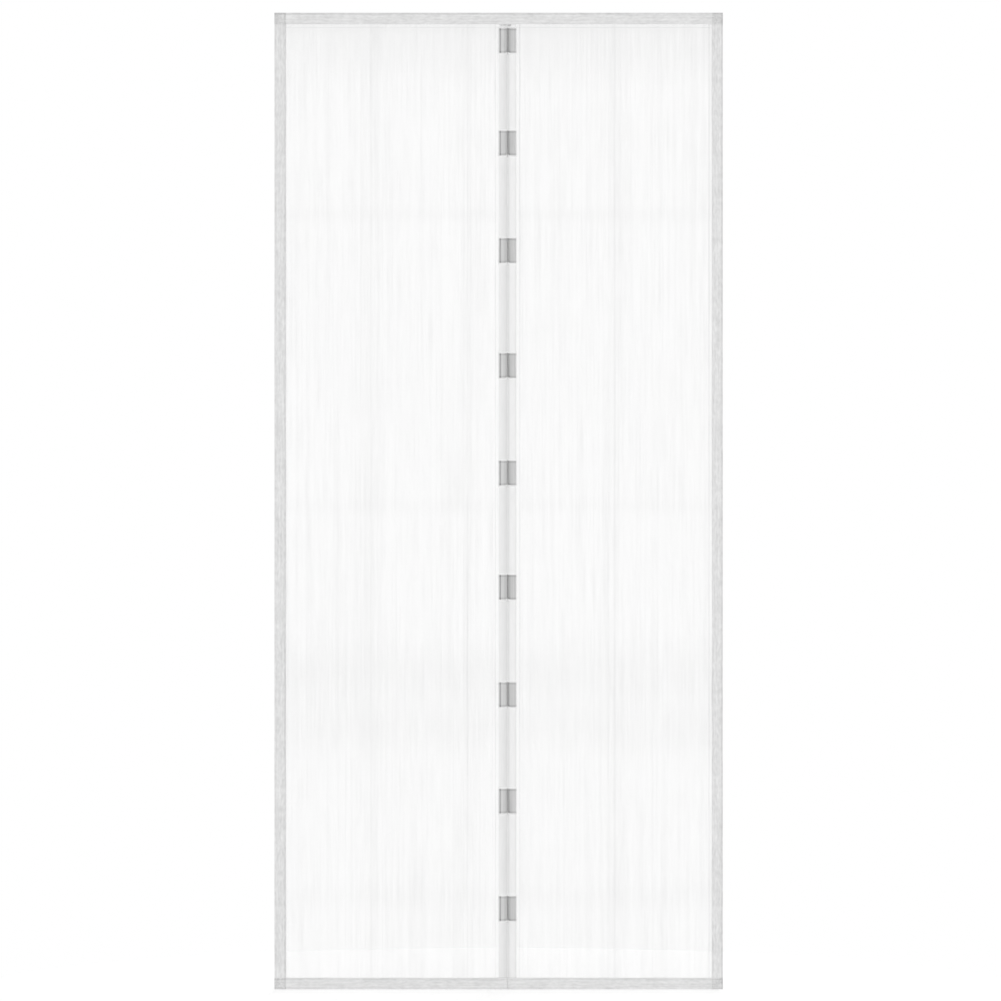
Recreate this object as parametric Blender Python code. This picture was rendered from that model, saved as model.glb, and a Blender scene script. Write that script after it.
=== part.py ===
"""Magnetic insect screen for a doorway.

Two net panels are sewn into one folded top tape. Each has a folded side tape, a folded bottom hem and, along the
closing seam, a ribbon with nine stitched pockets that hold bar magnets. Loop strips are sewn to the back of the top
and side tapes, and self-adhesive hook strips hold those to the door frame.

Metres, +Z up, front towards -Y. The origin is the middle of the top hook strip's adhesive face, so Y = 0 is the face
of the door frame. A ribbon, tape or net is a middle surface given its thickness by a Solidify modifier.
"""

import math

import bmesh
import bpy

# Overall sizes
SCREEN_WIDTH = 1.010
SCREEN_HEIGHT = 2.200
SEAM_OFFSET = 0.020  # the closing seam stands this far right of the middle

# Sheets and the clearance between layers
NET_THICKNESS = 0.0005
TAPE_THICKNESS = 0.0005
LAYER_GAP = 0.0003

# Folded border tape
TAPE_WIDTH = 0.026  # each leg of the fold
FOLD_INSET = 0.003  # how far what lies in a fold stops short of the tape's outer edge
STEP_MARGIN = 0.0015  # the tape stays stepped out this far past what it passes over
STEP_LENGTH = 0.005  # the length of the slope of a step
FOLD_SEGMENTS = 6

# Net, whose mesh is a plain grid of openings here
NET_TURN_WIDTH = 0.026  # the edge turned to the front at the seam
SEAM_GAP = 0.0003  # between the two panels' folds
NET_MARGIN = 0.004  # flat net beside a tape, before the openings start
BAR_PITCH = 0.044  # about, from one upright bar of the grid to the next
RUNG_PITCH = 0.210  # about, from one level bar to the next
BAR_WIDTH = 0.014
RIDGE_HEIGHT = 0.0008  # how far the middle of an upright bar stands forward
UPRIGHT_CREASES = {"left": (0.13, 0.595), "right": (0.495,)}  # creases of the packed net, as shares from the seam
LEVEL_CREASES = (0.20, 0.505, 0.71)  # as shares down the free net
CREASE_BOW = 0.003  # how far the net bows forward between two upright creases
CREASE_DIP = 0.3  # how much of that bow a level crease takes away
TURN_SEGMENTS = 4

# Magnets and the ribbon that pockets them
RIBBON_WIDTH = 0.021
MAGNET_WIDTH = 0.0178
MAGNET_LENGTH = 0.0565
MAGNET_THICKNESS = 0.0030
MAGNET_ROUNDING = 0.0008
MAGNET_FROM_SEAM = 0.0013
MAGNET_FIRST_DROP = 0.0635  # middle of the first magnet below the top edge
MAGNET_LAST_RISE = 0.182  # middle of the last magnet above the bottom edge
MAGNET_SPACINGS = (0.953, 1.0, 1.07, 1.0, 1.062, 1.0, 0.99, 1.0)  # relative, as sewn
RIBBON_FLANGE = 0.001  # the stitched edge beside a pocket
POCKET_CROWN = 0.0008  # how much higher a pocket is in the middle than at its sides
POCKET_END_ROOM = 0.0012
POCKET_RAMP = 0.0033
CHANNEL_PUFF = 0.0009  # how far the ribbon stands off between two magnets
POCKET_SIDE_SHARE = 0.7  # how much of its height a pocket has at the magnet's rounded edge
PUFF_SEGMENTS = 6
RIBBON_SEAM_EDGE = 0.0004  # middle of the ribbon's wall beside the seam

# Hook and loop strips
STRIP_WIDTH = 0.020
LOOP_THICKNESS = 0.0012
HOOK_THICKNESS = 0.0010
STRIP_END_GAP = 0.003
STRIP_ROUNDING = 0.0003

# Levels through the thickness, from the door frame's face forwards
STRIP_STACK = HOOK_THICKNESS + LAYER_GAP + LOOP_THICKNESS + LAYER_GAP
TIGHT_HALF = NET_THICKNESS / 2 + LAYER_GAP + TAPE_THICKNESS / 2  # net to a tape's middle surface
CORNER_HALF = TIGHT_HALF + TAPE_THICKNESS + LAYER_GAP  # over a side tape
NET_Y = -(STRIP_STACK + TIGHT_HALF + TAPE_THICKNESS / 2)
TURN_STEP = NET_THICKNESS + LAYER_GAP  # from the net to its turned edge
RIBBON_HALF = TURN_STEP + NET_THICKNESS / 2 + LAYER_GAP + TAPE_THICKNESS / 2
SEAM_HALF = RIBBON_HALF + TAPE_THICKNESS + LAYER_GAP  # over the ribbon and the turned edge
POCKET_RISE = MAGNET_THICKNESS + LAYER_GAP

# Outline
LEFT, RIGHT = -SCREEN_WIDTH / 2, SCREEN_WIDTH / 2
SEAM_X = SEAM_OFFSET
TOP_Z = TAPE_WIDTH / 2
BOTTOM_Z = TOP_Z - SCREEN_HEIGHT
NET_TOP_Z = TOP_Z - FOLD_INSET
NET_BOTTOM_Z = BOTTOM_Z + FOLD_INSET
SIDES = {"left": -1, "right": 1}


def make_material(name, colour, roughness, metallic=0.0):
    """A Principled material in one colour."""
    material = bpy.data.materials.new(name)
    material.use_nodes = True
    shader = material.node_tree.nodes["Principled BSDF"]
    shader.inputs["Base Color"].default_value = (*colour, 1.0)
    shader.inputs["Roughness"].default_value = roughness
    shader.inputs["Metallic"].default_value = metallic
    return material


def add_object(name, mesh, material):
    """Links a mesh to the scene as the node of that name."""
    mesh.materials.append(material)
    part = bpy.data.objects.new(name, mesh)
    bpy.context.scene.collection.objects.link(part)
    return part


def add_sheet(name, rows, thickness, material, gaps=()):
    """A sheet laid through rows of points, with its thickness half to each side.

    gaps holds the (row, column) cells that stay open."""
    form = bmesh.new()
    across, along = len(rows[0]) - 1, len(rows) - 1
    bmesh.ops.create_grid(form, x_segments=across, y_segments=along, size=1.0)
    for vertex, point in zip(form.verts, (point for row in rows for point in row)):
        vertex.co = point
    form.faces.ensure_lookup_table()
    bmesh.ops.delete(form, geom=[form.faces[i * across + j] for i, j in gaps], context="FACES")
    bmesh.ops.recalc_face_normals(form, faces=form.faces)
    mesh = bpy.data.meshes.new(name)
    form.to_mesh(mesh)
    form.free()
    part = add_object(name, mesh, material)
    wall = part.modifiers.new("thickness", "SOLIDIFY")
    wall.thickness = thickness
    wall.offset = 0.0
    wall.use_even_offset = True


def add_bar(name, low, high, rounding, material):
    """A bar between two corners with every edge rounded."""
    form = bmesh.new()
    bmesh.ops.create_cube(form, size=1.0)
    middle = [(a + b) / 2 for a, b in zip(low, high)]
    bmesh.ops.scale(form, vec=[b - a for a, b in zip(low, high)], verts=form.verts)
    bmesh.ops.bevel(form, geom=form.edges[:], offset=rounding, segments=1, profile=0.5, affect="EDGES")
    mesh = bpy.data.meshes.new(name)
    form.to_mesh(mesh)
    form.free()
    add_object(name, mesh, material).location = middle


def fold_path(front, back):
    """The section of a folded tape as (distance in from the outer edge, distance behind the net), front leg first.

    front and back are how far its two legs' middle surfaces stand from the net."""
    radius = (front + back) / 2
    middle = (back - front) / 2
    turn_at = radius + TAPE_THICKNESS / 2
    path = [(TAPE_WIDTH, -front)]
    for i in range(FOLD_SEGMENTS + 1):
        angle = math.pi * i / FOLD_SEGMENTS
        path.append((turn_at - radius * math.sin(angle), middle - radius * math.cos(angle)))
    path.append((TAPE_WIDTH, back))
    return path


def add_side_tapes(material):
    """The upright border tapes. Their ends lie inside the top tape and the hems."""
    for side, sign in SIDES.items():
        edge = sign * SCREEN_WIDTH / 2
        rows = [
            [(edge - sign * inwards, NET_Y + behind, z) for inwards, behind in fold_path(TIGHT_HALF, TIGHT_HALF)]
            for z in (NET_TOP_Z, NET_BOTTOM_Z)
        ]
        add_sheet(f"side_tape_{side}", rows, TAPE_THICKNESS, material)


def level_tape_rows(stations, outer_z, inwards_sign):
    """Rows for a tape that runs level, from (x, front, back) stations."""
    return [
        [(x, NET_Y + behind, outer_z + inwards_sign * inwards) for inwards, behind in fold_path(front, back)]
        for x, front, back in stations
    ]


def corner_stations(sign):
    """Stations at an outer corner, from the edge inwards: stepped out both ways over the side tape, then close."""
    edge = sign * SCREEN_WIDTH / 2
    past = TAPE_WIDTH + STEP_MARGIN
    return [
        (edge, CORNER_HALF, CORNER_HALF),
        (edge - sign * past, CORNER_HALF, CORNER_HALF),
        (edge - sign * (past + STEP_LENGTH), TIGHT_HALF, TIGHT_HALF),
    ]


def seam_stations(sign):
    """Stations beside the seam, from the panel towards it: close, then stepped out at the front over the ribbon."""
    past = NET_TURN_WIDTH + STEP_MARGIN
    return [
        (SEAM_X + sign * (past + STEP_LENGTH), TIGHT_HALF, TIGHT_HALF),
        (SEAM_X + sign * past, SEAM_HALF, TIGHT_HALF),
    ]


def add_top_tape(material):
    """The tape that joins both panels, in one length across the top."""
    stations = [
        *corner_stations(-1),
        *seam_stations(-1),
        *reversed(seam_stations(1)),
        *reversed(corner_stations(1)),
    ]
    add_sheet("top_tape", level_tape_rows(stations, TOP_Z, -1), TAPE_THICKNESS, material)


def add_hem_tapes(material):
    """A hem for each panel, so that the screen parts down to the floor."""
    for side, sign in SIDES.items():
        stations = [*corner_stations(sign), *seam_stations(sign), (SEAM_X + sign * SEAM_GAP / 2, SEAM_HALF, TIGHT_HALF)]
        add_sheet(f"hem_tape_{side}", level_tape_rows(stations, BOTTOM_Z, 1), TAPE_THICKNESS, material)


def between(low, high, shares):
    """The two ends and the places between them that the shares give."""
    return [low, *(low + share * (high - low) for share in shares), high]


def bow(place, creases):
    """How full the net stands at a place: 0 on each crease and 1 midway between two."""
    for low, high in zip(creases, creases[1:]):
        if low <= place <= high:
            return math.sin(math.pi * (place - low) / (high - low))
    return 0.0


def turned_edge():
    """The net's edge turned to the front at the seam, as (distance from the seam, distance forward of the net)."""
    radius = TURN_STEP / 2
    middle = SEAM_GAP / 2 + NET_THICKNESS / 2 + radius
    path = [(NET_TURN_WIDTH, TURN_STEP)]
    for i in range(TURN_SEGMENTS + 1):
        angle = math.pi * i / TURN_SEGMENTS
        path.append((middle - radius * math.sin(angle), radius + radius * math.cos(angle)))
    return path


def openings_between(creases, pitch):
    """Each opening's two ends along one axis. A bar lies on each crease and between two openings."""
    spans = []
    for low, high in zip(creases, creases[1:]):
        count = max(1, round(abs(high - low) / pitch))
        cell = (high - low) / count
        half_bar = math.copysign(BAR_WIDTH / 2, cell)
        spans += [(low + k * cell + half_bar, low + (k + 1) * cell - half_bar) for k in range(count)]
    return spans


def add_nets(material):
    """The two net panels: a grid of openings with ridged upright bars, and the seam's edge turned to the front."""
    top, bottom = TOP_Z - TAPE_WIDTH - NET_MARGIN, BOTTOM_Z + TAPE_WIDTH + NET_MARGIN
    level_creases = between(top, bottom, LEVEL_CREASES)
    levels = [z for span in openings_between(level_creases, RUNG_PITCH) for z in span]
    turned = turned_edge()
    for side, sign in SIDES.items():
        panel_width = SCREEN_WIDTH / 2 - sign * SEAM_OFFSET
        start, end = NET_TURN_WIDTH + NET_MARGIN, panel_width - TAPE_WIDTH - NET_MARGIN
        creases = between(start, end, UPRIGHT_CREASES[side])
        spans = openings_between(creases, BAR_PITCH)
        columns = [(start, 0.0), (spans[0][0], 0.0), (spans[0][1], 0.0)]
        for (_, before), (opens, closes) in zip(spans, spans[1:]):
            columns += [((before + opens) / 2, RIDGE_HEIGHT), (opens, 0.0), (closes, 0.0)]
        columns.append((end, 0.0))

        def row(z, raised):
            full = raised * CREASE_BOW * (1 - CREASE_DIP + CREASE_DIP * bow(-z, [-level for level in level_creases]))
            free = [(u, raised * ridge + full * bow(u, creases)) for u, ridge in columns]
            points = [*turned, *free, (panel_width - FOLD_INSET, 0.0)]
            return [(SEAM_X + sign * u, NET_Y - forward, z) for u, forward in points]

        flat_rows = (NET_TOP_Z, top, bottom, NET_BOTTOM_Z)
        rows = [row(z, 0) for z in flat_rows[:2]] + [row(z, 1) for z in levels] + [row(z, 0) for z in flat_rows[2:]]
        first_row, first_column = 2, len(turned) + 1
        gaps = {
            (first_row + i, first_column + j)
            for i in range(0, len(levels), 2)
            for j in range(0, 3 * len(spans), 3)
        }
        add_sheet(f"net_{side}", rows, NET_THICKNESS, material, gaps)


def magnet_heights():
    """The magnets' middles, top to bottom."""
    first, last = TOP_Z - MAGNET_FIRST_DROP, BOTTOM_Z + MAGNET_LAST_RISE
    heights = [first]
    for spacing in MAGNET_SPACINGS:
        heights.append(heights[-1] - (first - last) * spacing / sum(MAGNET_SPACINGS))
    return heights


def ribbon_sections():
    """The ribbon's section laid flat, over a magnet and between magnets, as (distance from the seam, rise)."""
    magnet_out = MAGNET_FROM_SEAM + MAGNET_WIDTH
    wall_out = RIBBON_WIDTH - RIBBON_FLANGE
    over = [
        (RIBBON_WIDTH, 0.0),
        (wall_out, 0.0),
        (magnet_out + MAGNET_ROUNDING / 2, POCKET_SIDE_SHARE * POCKET_RISE),
        (magnet_out - MAGNET_ROUNDING, POCKET_RISE),
        (MAGNET_FROM_SEAM + MAGNET_WIDTH / 2, POCKET_RISE + POCKET_CROWN),
        (MAGNET_FROM_SEAM + MAGNET_ROUNDING, POCKET_RISE),
        (MAGNET_FROM_SEAM - MAGNET_ROUNDING / 2, POCKET_SIDE_SHARE * POCKET_RISE),
        (RIBBON_SEAM_EDGE, 0.0),
    ]
    shares = [k / PUFF_SEGMENTS for k in range(PUFF_SEGMENTS + 1)]
    spread = [wall_out + (RIBBON_SEAM_EDGE - wall_out) * share for share in shares]
    flat = [(RIBBON_WIDTH, 0.0), *((u, 0.0) for u in spread)]
    rises = [CHANNEL_PUFF * math.sin(math.pi * share) for share in shares]
    puffed = [(RIBBON_WIDTH, 0.0), *zip(spread, rises)]
    return flat, over, puffed


def add_magnet_ribbons(material):
    """The ribbons beside the seam, pocketed over each magnet and flat where the tapes cover them."""
    flat, over, puffed = ribbon_sections()
    half_pocket = MAGNET_LENGTH / 2 + POCKET_END_ROOM
    levels = [(NET_TOP_Z, flat), (TOP_Z - TAPE_WIDTH - STEP_MARGIN, flat)]
    for middle in magnet_heights():
        levels += [
            (middle + half_pocket + POCKET_RAMP, puffed),
            (middle + half_pocket, over),
            (middle - half_pocket, over),
            (middle - half_pocket - POCKET_RAMP, puffed),
        ]
    levels += [(BOTTOM_Z + TAPE_WIDTH + STEP_MARGIN, flat), (NET_BOTTOM_Z, flat)]
    for side, sign in SIDES.items():
        rows = [[(SEAM_X + sign * u, NET_Y - RIBBON_HALF - rise, z) for u, rise in section] for z, section in levels]
        add_sheet(f"magnet_ribbon_{side}", rows, TAPE_THICKNESS, material)


def add_magnets(material):
    """A bar magnet in each pocket, the left one of a pair facing the right one across the seam."""
    back = NET_Y - RIBBON_HALF + TAPE_THICKNESS / 2
    for side, sign in SIDES.items():
        near, far = (SEAM_X + sign * u for u in (MAGNET_FROM_SEAM, MAGNET_FROM_SEAM + MAGNET_WIDTH))
        for number, middle in enumerate(magnet_heights(), start=1):
            low = (min(near, far), back - MAGNET_THICKNESS, middle - MAGNET_LENGTH / 2)
            high = (max(near, far), back, middle + MAGNET_LENGTH / 2)
            add_bar(f"magnet_{side}_{number}", low, high, MAGNET_ROUNDING, material)


def add_strips(loop_material, hook_material):
    """The loop strips on the back of the top and side tapes, and the hook strips that they press on to."""
    margin = (TAPE_WIDTH - STRIP_WIDTH) / 2
    past_corner = TAPE_WIDTH + STEP_MARGIN + STEP_LENGTH + STRIP_END_GAP
    side_top, side_bottom = TOP_Z - TAPE_WIDTH - STRIP_END_GAP, BOTTOM_Z + TAPE_WIDTH + STRIP_END_GAP
    spans = {
        "top": (LEFT + past_corner, RIGHT - past_corner, TOP_Z - margin - STRIP_WIDTH, TOP_Z - margin),
        "left": (LEFT + margin, LEFT + margin + STRIP_WIDTH, side_bottom, side_top),
        "right": (RIGHT - margin - STRIP_WIDTH, RIGHT - margin, side_bottom, side_top),
    }
    for place, (x0, x1, z0, z1) in spans.items():
        loop_back = -HOOK_THICKNESS - LAYER_GAP
        add_bar(
            f"loop_strip_{place}", (x0, loop_back - LOOP_THICKNESS, z0), (x1, loop_back, z1), STRIP_ROUNDING, loop_material
        )
        add_bar(f"hook_strip_{place}", (x0, -HOOK_THICKNESS, z0), (x1, 0.0, z1), STRIP_ROUNDING, hook_material)


def main():
    for old in list(bpy.data.objects):
        bpy.data.objects.remove(old, do_unlink=True)
    net = make_material("net", (0.86, 0.86, 0.86), 0.7)
    tape = make_material("tape", (0.72, 0.72, 0.72), 0.8)
    ribbon = make_material("ribbon", (0.82, 0.82, 0.82), 0.75)
    magnet = make_material("magnet", (0.36, 0.36, 0.37), 0.45, metallic=0.3)
    loop = make_material("loop", (0.78, 0.78, 0.77), 0.95)
    hook = make_material("hook", (0.80, 0.80, 0.79), 0.5)
    add_nets(net)
    add_side_tapes(tape)
    add_top_tape(tape)
    add_hem_tapes(tape)
    add_magnet_ribbons(ribbon)
    add_magnets(magnet)
    add_strips(loop, hook)


main()
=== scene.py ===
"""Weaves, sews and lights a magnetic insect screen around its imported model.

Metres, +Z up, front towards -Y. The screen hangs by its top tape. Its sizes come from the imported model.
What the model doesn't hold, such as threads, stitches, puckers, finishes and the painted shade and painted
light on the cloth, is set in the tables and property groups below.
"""

import math

import bmesh
import bpy
from bpy.props import FloatProperty, FloatVectorProperty, IntProperty, PointerProperty
from mathutils import Matrix, Vector, noise


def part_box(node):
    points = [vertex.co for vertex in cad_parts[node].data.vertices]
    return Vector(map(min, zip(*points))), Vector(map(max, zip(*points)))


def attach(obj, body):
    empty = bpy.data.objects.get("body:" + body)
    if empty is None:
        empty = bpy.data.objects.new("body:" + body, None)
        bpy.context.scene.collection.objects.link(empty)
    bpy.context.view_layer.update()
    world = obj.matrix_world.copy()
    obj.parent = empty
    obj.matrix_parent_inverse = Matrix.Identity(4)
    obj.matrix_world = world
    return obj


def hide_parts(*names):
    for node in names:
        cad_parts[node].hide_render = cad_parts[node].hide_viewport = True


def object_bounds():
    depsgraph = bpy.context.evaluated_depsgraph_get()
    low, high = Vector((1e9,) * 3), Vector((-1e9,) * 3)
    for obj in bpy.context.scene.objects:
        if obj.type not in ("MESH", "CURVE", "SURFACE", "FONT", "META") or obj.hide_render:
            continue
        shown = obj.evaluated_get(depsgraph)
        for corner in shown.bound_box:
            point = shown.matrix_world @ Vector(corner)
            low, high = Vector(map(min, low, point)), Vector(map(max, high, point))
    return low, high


bl_info = {
    "name": "Magnetic Insect Screen",
    "version": (1, 0, 0),
    "blender": (4, 5, 0),
    "location": "View3D > Sidebar > Insect Screen",
    "description": "Weaves, sews and lights a magnetic insect screen",
    "category": "Object",
}

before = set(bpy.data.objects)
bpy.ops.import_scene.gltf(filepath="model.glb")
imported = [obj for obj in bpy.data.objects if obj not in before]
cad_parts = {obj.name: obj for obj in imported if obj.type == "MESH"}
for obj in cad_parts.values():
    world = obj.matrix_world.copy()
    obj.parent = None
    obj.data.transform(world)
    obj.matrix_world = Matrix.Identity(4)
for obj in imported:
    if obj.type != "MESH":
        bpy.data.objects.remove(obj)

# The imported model's outline
CORNER_LOW, CORNER_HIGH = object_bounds()
LEFT, RIGHT = CORNER_LOW.x, CORNER_HIGH.x
BOTTOM, TOP = CORNER_LOW.z, CORNER_HIGH.z

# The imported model's layers, as distances from the middle of the net's thickness
SIDE_TAPE_LOW, SIDE_TAPE_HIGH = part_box("side_tape_left")
TOP_TAPE_LOW, TOP_TAPE_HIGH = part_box("top_tape")
RIBBON_LOW, RIBBON_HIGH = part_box("magnet_ribbon_left")
TAPE_WALL = 0.0005
TAPE_WIDTH = SIDE_TAPE_HIGH.x - SIDE_TAPE_LOW.x
NET_Y = (SIDE_TAPE_LOW.y + SIDE_TAPE_HIGH.y) / 2
CLOSE_HALF = (SIDE_TAPE_HIGH.y - SIDE_TAPE_LOW.y - TAPE_WALL) / 2
CORNER_HALF = TOP_TAPE_HIGH.y - NET_Y - TAPE_WALL / 2
SEAM_HALF = NET_Y - TOP_TAPE_LOW.y - TAPE_WALL / 2
RIBBON_HALF = NET_Y - RIBBON_HIGH.y + TAPE_WALL / 2
NET_TOP, NET_BOTTOM = SIDE_TAPE_HIGH.z, SIDE_TAPE_LOW.z
SEAM_X = (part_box("net_left")[1].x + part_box("net_right")[0].x) / 2
SEAM_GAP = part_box("net_right")[0].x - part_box("net_left")[1].x
RIBBON_OUT = SEAM_X - RIBBON_LOW.x
MAGNETS = [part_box(f"magnet_left_{number}") for number in range(1, 10)]
MAGNET_OUT = SEAM_X - MAGNETS[0][0].x
MAGNET_THICKNESS = MAGNETS[0][1].y - MAGNETS[0][0].y
SIDES = {"left": -1, "right": 1}

# From the seam to the ribbons and to the tacks' two sides, and from the top tape to the tacks' two ends
RIBBON_IN = 0.00005
TACKS = {"left": ((0.0055, 0.0080), (0.0125, 0.0150)), "right": ((0.0006, 0.0080),)}
TACK_DROPS = (0.0016, 0.0040)

# Where rows of stitches start: from a tape's outer edge, a level tape's end, and along and across a ribbon
OUTER_ROW, ROW_END, SEAM_ROW, CROSS_ROW = 0.0042, 0.002, 0.0006, 0.001
WIDE, UPRIGHT = Vector((1, 0, 0)), Vector((0, 0, 1))

# How far apart the forms are cut, and how many columns they have
THREAD_STEP, SIDE_TAPE_STEP, LEVEL_TAPE_STEP = 0.11, 0.006, 0.004
RIBBON_STEP, POCKET_END_STEP = 0.005, 0.0006
WAVE_COLUMNS, FOLD_COLUMNS, RIBBON_COLUMNS, FLOOR_SIDES = 10, 8, 26, 96
EDGE_COLUMN = 0.0004    # a narrow column along a tape's edge keeps the shading of the leg flat

# How the net's waves fade out at its edges, and how much of its bow a level crease takes away
WAVE_EASE, LEVEL_PULL = 0.06, 0.3

# How far past a level tape a ribbon stays flat, the length over which it rises, and its room over a magnet
TAPE_ROOM, TAPE_RAMP, COVER_ROOM = 0.0015, 0.004, 0.0003

# The pockets' ends: how far past a magnet's end and inside it the close rows go, how the painted shade over
# a magnet starts and fades, how far the painted shade at a lower end rises at the seam, and where the line
# of painted shade inside and the line of painted light outside lie
ROWS_PAST_END, ROWS_INSIDE_BOTTOM, ROWS_INSIDE_TOP = 0.0012, 0.009, 0.007
SHADE_START, SHADE_RAMP, SHADE_EDGE = -0.0004, 0.0006, 0.0008
NOTCH, NOTCH_REACH = 0.0028, 0.008
END_INSET, DARK_REACH, SEAM_REACH, END_LIGHT, LIGHT_REACH = 0.0034, 0.0028, 0.004, 0.0014, 0.0030

# Lumps to a metre along each axis: of the net, of flat cloth (across, along) and of the finishes
NET_FINE_STREAKS, NET_LONG_STREAKS = (250.0, 1.0, 9.0), (120.0, 1.0, 1.2)
TAPE_STREAKS, TAPE_RIBS = (230.0, 75.0, 1.0), (240.0, 9.0, 1.0)
TAPE_CLOUD, TAPE_SPECKS = (45.0, 45.0, 45.0), (290.0, 290.0, 290.0)
RIBBON_STREAKS, POCKET_STREAKS = (380.0, 30.0, 1.0), (520.0, 3.0, 1.0)
THREAD_LUMPS, HOOK_CLOUD = (900.0, 900.0, 900.0), (40.0, 40.0, 40.0)
FERRITE_GRAIN, FERRITE_CLOUD = (1400.0, 1400.0, 1400.0), (120.0, 120.0, 120.0)
WEAVE_WAVES, HOOK_WAVES = (560.0, 1.2, 1.0, 2.0), (900.0, 0.6, 1.0)    # ribs to a metre, bend, its detail
WAVE_LUMPS_ACROSS, WAVE_LUMPS_UP, PUCKER_LUMPS, WAVER_LUMPS = 11, 1.6, 170, 14

# Strengths of the finer marks: the tape's ribs, cloud and specks and the pockets' streaks, then the painted
# light on the turned edge and on the hems, and how light the floor itself is
TAPE_RIB_DEPTH, TAPE_CLOUD_DEPTH, TAPE_SPECK_DEPTH, POCKET_STREAK_DEPTH = 0.75, 0.5, 4.0, 0.35
TURNED_PAINTED_LIGHT, HEM_PAINTED_LIGHT, FLOOR_SHADE = 0.11, 0.02, 0.92

# Lines of painted shade, as (half width in metres, depth of the shade); a depth below 0 is painted light
CREASE_LINE, CREASE_FADE = (0.0020, 0.24), (0.040, 0.045)
SIDE_FOLD_LINE, TOP_FOLD_LINE, FOLD_FADE = (0.0020, 0.34), (0.0020, 0.22), (0.03, 0.03)
RAW_EDGE_LINES = {"left": (0.0020, 0.12), "right": (0.0020, 0.26)}
RIBBON_EDGE_LINE = (0.0032, -0.14)
# Where the painted light on the turned edge starts and where it is full
TURNED_LIGHT_START, TURNED_LIGHT_FULL = 0.0010, 0.0020    # distances in from the turned edge's raw edge

# The net's painted shade along its level creases and folds and under the top tape, with painted light right
# under that tape where the depth is below 0, as (share down the free net, half width, depth of the shade)
LEVEL_SHADES = (
    (0.0, 0.19, 0.125), (0.0, 0.03, 0.02), (0.0, 0.006, -0.12), (0.20, 0.025, 0.05), (0.505, 0.025, 0.04),
    (0.683, 0.11, 0.085), (0.738, 0.08, 0.065), (0.915, 0.05, 0.04),
)

# Lines of painted shade along the right-hand edges of the upright tapes and the upper edges of the level
# tapes, as (axis, place), and their half width
TAPE_LINES = (
    (0, LEFT + TAPE_WIDTH - 0.0024), (0, RIGHT - 0.0026), (2, TOP - 0.0028),
    (2, BOTTOM + TAPE_WIDTH - 0.0034),
)
TAPE_LINE_WIDTH = 0.0030

# The ribbons' painted shade over and between magnets: depth at the seam and its reach, even shade, outer
# line
POCKET_SHADES = {"left": (0.25, 0.013, 0.09, 0.36), "right": (0.14, 0.013, 0.19, 0.03)}
CHANNEL_SHADES = {"left": (0.15, 0.018, 0.0, 0.03), "right": (0.06, 0.008, 0.0, 0.08)}
POCKET_LINE_AT, POCKET_LINE_WIDTH = 0.0163, 0.0032
CHANNEL_LINE_AT, CHANNEL_LINE_WIDTH = RIBBON_OUT - 0.003, 0.0022
GROOVE_WIDTH, SEAM_LINE_WIDTH = 0.0048, 0.0045
SEAM_LEAN, GROOVE_TILT = 0.0019, 0.0014    # how far right of the seam they lie, and shift down a pocket

# The lamps, as (name, the setting of its power, width, place from the screen's middle)
LAMPS = (
    ("key lamp", "key", 2.4, (4.5, -7.5, 0.3)),
    ("fill lamp", "fill", 3.0, (-6.0, -7.0, 0.0)),
    ("back lamp", "fill", 3.0, (2.0, 8.0, 3.0)),
)
CLIP_END = 60.0


def number(name, description, value, **options):
    """A number."""
    return FloatProperty(name=name, description=description, default=value, **options)


def millimetres(name, description, value):
    """A length, given in millimetres."""
    return number(name, description, value / 1000, min=0.0, unit="LENGTH", precision=5)


def share(name, description, value):
    """A part of something, from 0 to 1."""
    return number(name, description, value, min=0.0, max=1.0, subtype="FACTOR")


class NetSettings(bpy.types.PropertyGroup):
    """The two net panels."""

    thread_pitch: millimetres("Thread Pitch", "From one thread to the next, both ways", 1.6)
    thread_radius: millimetres("Thread Radius", "Radius round a thread's three edges", 0.225)
    turned_edge: millimetres("Turned Edge", "Width of the edge turned to the front at the seam", 27.6)
    turn_step: millimetres("Turn Step", "From the net to its turned edge", 0.8)
    inset: millimetres("Inset", "How far the net stops short of a tape's outer edge", 3.0)
    margin: millimetres("Margin", "Flat net beside a tape or the turned edge", 2.4)
    crease_bow: millimetres("Crease Bow", "How far the net bows forward between two creases", 2.6)
    wave_depth: millimetres("Wave Depth", "Depth of the soft uneven waves", 0.7)
    left_creases: FloatVectorProperty(
        name="Left Creases", description="Upright creases at the left, as shares from the seam", size=2,
        default=(0.13, 0.595),
    )
    right_crease: share("Right Crease", "The upright crease at the right, as such a share", 0.495)
    level_creases: FloatVectorProperty(
        name="Level Creases", description="Level creases, as shares down the net", size=3,
        default=(0.20, 0.505, 0.71),
    )
    brightness: share("Brightness", "How light the threads are", 0.95)
    cover: share("Cover", "How much of what lies behind a thread it hides", 0.52)
    streaks: share("Streaks", "Strength of the fine upright streaks", 0.42)
    top_line: millimetres("Top Line", "From the top tape to the line of the net's own folded edge", 7.2)
    side_line: millimetres("Side Line", "From the right tape to that line", 5.3)


class TapeSettings(bpy.types.PropertyGroup):
    """The folded border tapes and hems."""

    step_start: millimetres("Step Start", "How far past a lower layer a tape stays stepped out", 1.5)
    step_length: millimetres("Step Length", "Length of the slope of a step", 5.0)
    pucker: millimetres("Pucker", "Depth of the puckers along the seams", 0.06)
    waver: millimetres("Waver", "How far the inner edge strays from straight", 0.35)
    right_width: share("Right Width", "Width of the right tape as a share of the left one's", 0.945)
    brightness: share("Brightness", "How light the tape is", 0.711)
    overlap: share("Overlap", "How much darker two tapes are where they cross", 0.135)
    streaks: share("Streaks", "Strength of the streaks along a tape", 0.28)
    edge_line: share("Edge Line", "Shade of the lines along a tape's edges", 0.07)


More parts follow.
